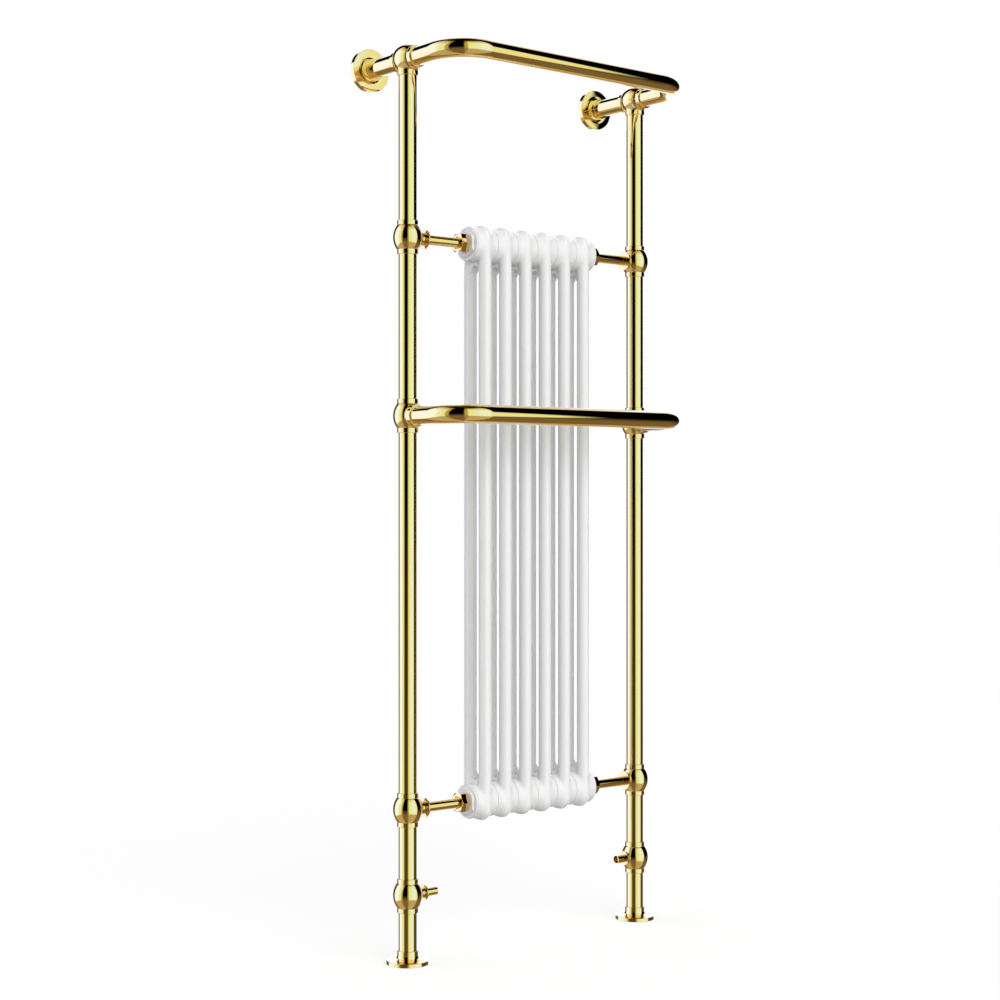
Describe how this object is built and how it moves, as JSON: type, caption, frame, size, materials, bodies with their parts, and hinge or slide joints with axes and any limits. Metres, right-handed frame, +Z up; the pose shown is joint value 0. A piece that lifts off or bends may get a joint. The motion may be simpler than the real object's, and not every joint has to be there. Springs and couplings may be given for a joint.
{
  "type": "towel radiator",
  "caption": "Traditional floor-standing towel radiator: ball-jointed brass posts with two bent towel hoops, wall stays and a white column radiator hung between them.",
  "frame": {"origin": "on the floor, midway between the posts and midway between the wall plane and the front of the hoops", "axes": "+Z up, +Y towards the wall, +X to the right seen from the front"},
  "size_m": [0.598, 0.272, 1.567],
  "materials": {
    "polished_brass": "mirror-polished gold-coloured brass",
    "white_enamel": "smooth white stove enamel",
    "fixing_steel": "plain machined steel",
    "sealing_gasket": "pale fibre gasket"
  },
  "bodies": {
    "radiator_frame": {"left_foot_tube": "polished_brass", "left_lower_tube": "polished_brass", "left_middle_tube": "polished_brass", "left_upper_tube": "polished_brass", "left_top_tube": "polished_brass", "left_inlet_ball": "polished_brass", "left_lower_ball": "polished_brass", "left_middle_ball": "polished_brass", "left_upper_ball": "polished_brass", "left_top_ball": "polished_brass", "left_inlet_tail": "polished_brass", "left_inlet_collar": "polished_brass", "left_lower_link_pipe": "polished_brass", "left_upper_link_pipe": "polished_brass", "left_lower_link_collar": "polished_brass", "left_upper_link_collar": "polished_brass", "left_floor_flange": "polished_brass", "left_wall_stay": "polished_brass", "left_wall_flange": "polished_brass", "left_floor_plate": "fixing_steel", "left_wall_plate": "fixing_steel", "right_foot_tube": "polished_brass", "right_lower_tube": "polished_brass", "right_middle_tube": "polished_brass", "right_upper_tube": "polished_brass", "right_top_tube": "polished_brass", "right_inlet_ball": "polished_brass", "right_lower_ball": "polished_brass", "right_middle_ball": "polished_brass", "right_upper_ball": "polished_brass", "right_top_ball": "polished_brass", "right_inlet_tail": "polished_brass", "right_inlet_collar": "polished_brass", "right_lower_link_pipe": "polished_brass", "right_upper_link_pipe": "polished_brass", "right_lower_link_collar": "polished_brass", "right_upper_link_collar": "polished_brass", "right_floor_flange": "polished_brass", "right_wall_stay": "polished_brass", "right_wall_flange": "polished_brass", "right_floor_plate": "fixing_steel", "right_wall_plate": "fixing_steel", "middle_hoop": "polished_brass", "top_hoop": "polished_brass", "radiator_section_1": "white_enamel", "radiator_section_2": "white_enamel", "radiator_section_3": "white_enamel", "radiator_section_4": "white_enamel", "radiator_section_5": "white_enamel", "radiator_section_6": "white_enamel", "end_bushes": "white_enamel", "section_nipples": "fixing_steel", "section_gaskets": "sealing_gasket", "union_washers": "sealing_gasket", "union_nuts": "polished_brass", "air_vent_body": "polished_brass"},
    "bleed_screw": {"bleed_screw": "fixing_steel"}
  },
  "joints": [
    {"name": "bleed_turn", "type": "hinge", "parent": "radiator_frame", "child": "bleed_screw", "pos_m": [0.2886, 0.018, 1.53], "axis": [1, 0, 0], "range_deg": [0, 315]}
  ]
}
